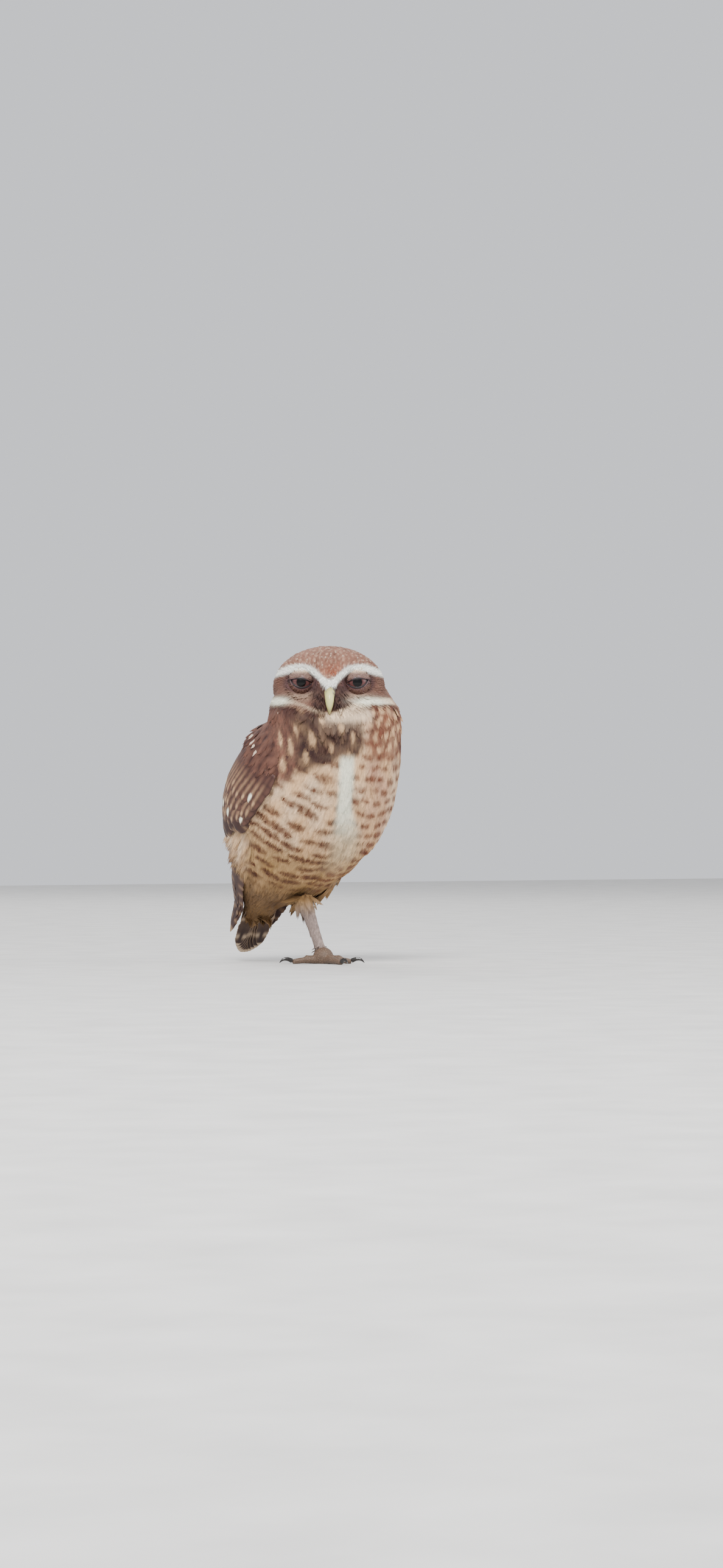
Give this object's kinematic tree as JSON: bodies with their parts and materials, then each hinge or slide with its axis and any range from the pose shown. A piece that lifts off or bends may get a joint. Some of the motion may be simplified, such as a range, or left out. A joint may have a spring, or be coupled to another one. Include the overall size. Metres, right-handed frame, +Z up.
{
  "type": "burrowing owl",
  "caption": "Small long-legged owl, life size, dozing upright on its right leg with the other foot drawn up and its head turned to the right.",
  "frame": {"origin": "middle of the standing foot's sole, on the floor", "axes": "+Z up, -Y the way the breast faces, -X the bird's right"},
  "size_m": [0.1167, 0.1469, 0.21],
  "materials": {
    "plumage_pale": "soft buff-white feathers barred with brown",
    "plumage_brown": "mauve-brown feathers with round white spots",
    "leg_down": "short cream down",
    "toe_skin": "grey-brown skin of small scales and bristles",
    "claw": "dark polished horn",
    "bill": "pale greenish-yellow horn",
    "eye": "wet, dark pupil in a pale yellow iris",
    "lid": "fine grey skin"
  },
  "bodies": {
    "root": {"torso": "plumage_pale", "neck": "plumage_brown", "head": "plumage_brown", "bill_upper": "bill", "bill_lower": "bill", "eye_right": "eye", "eye_left": "eye", "lids_right": "lid", "lids_left": "lid", "wing_right": "plumage_brown", "wing_left": "plumage_brown", "tail": "plumage_brown", "thigh_right": "leg_down", "tarsus_right": "leg_down", "tarsus_left": "leg_down", "foot_right": "toe_skin", "foot_left": "toe_skin", "toe_right_inner": "toe_skin", "claw_right_inner": "claw", "toe_right_middle": "toe_skin", "claw_right_middle": "claw", "toe_right_outer": "toe_skin", "claw_right_outer": "claw", "toe_right_hind": "toe_skin", "claw_right_hind": "claw", "toe_left_inner": "toe_skin", "claw_left_inner": "claw", "toe_left_middle": "toe_skin", "claw_left_middle": "claw", "toe_left_outer": "toe_skin", "claw_left_outer": "claw", "toe_left_hind": "toe_skin", "claw_left_hind": "claw"}
  },
  "joints": []
}
